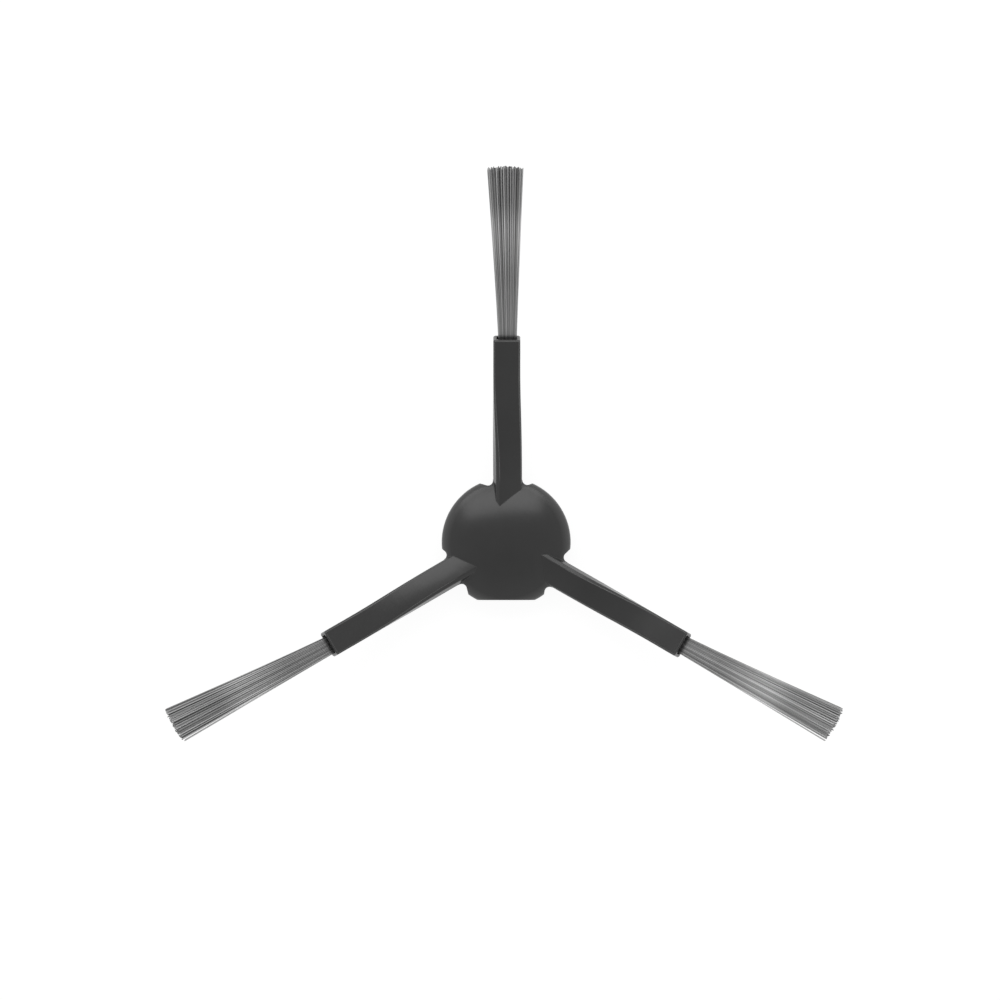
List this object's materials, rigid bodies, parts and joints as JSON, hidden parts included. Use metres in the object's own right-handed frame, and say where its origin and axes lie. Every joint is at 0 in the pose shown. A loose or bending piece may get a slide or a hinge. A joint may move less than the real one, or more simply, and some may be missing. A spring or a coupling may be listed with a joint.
{
  "type": "robot vacuum side brush",
  "caption": "Robot vacuum side brush: a domed hub with a square push-fit drive socket and twisted arms, each ending in a sleeve that holds a fanned bristle tuft.",
  "frame": {"origin": "on the spin axis, at the mouth of the drive socket, in the plane of the hub's base", "axes": "+Z along the spin axis out through the dome, away from the robot; +Y along one arm; -Y is normal to the hub's flat"},
  "size_m": [0.1483, 0.1252, 0.024],
  "materials": {
    "body": "satin moulded",
    "bristles": "satin filament"
  },
  "bodies": {
    "root": {"brush_body": "body", "bristle_tuft_1": "bristles", "bristle_tuft_2": "bristles", "bristle_tuft_3": "bristles"}
  },
  "joints": []
}
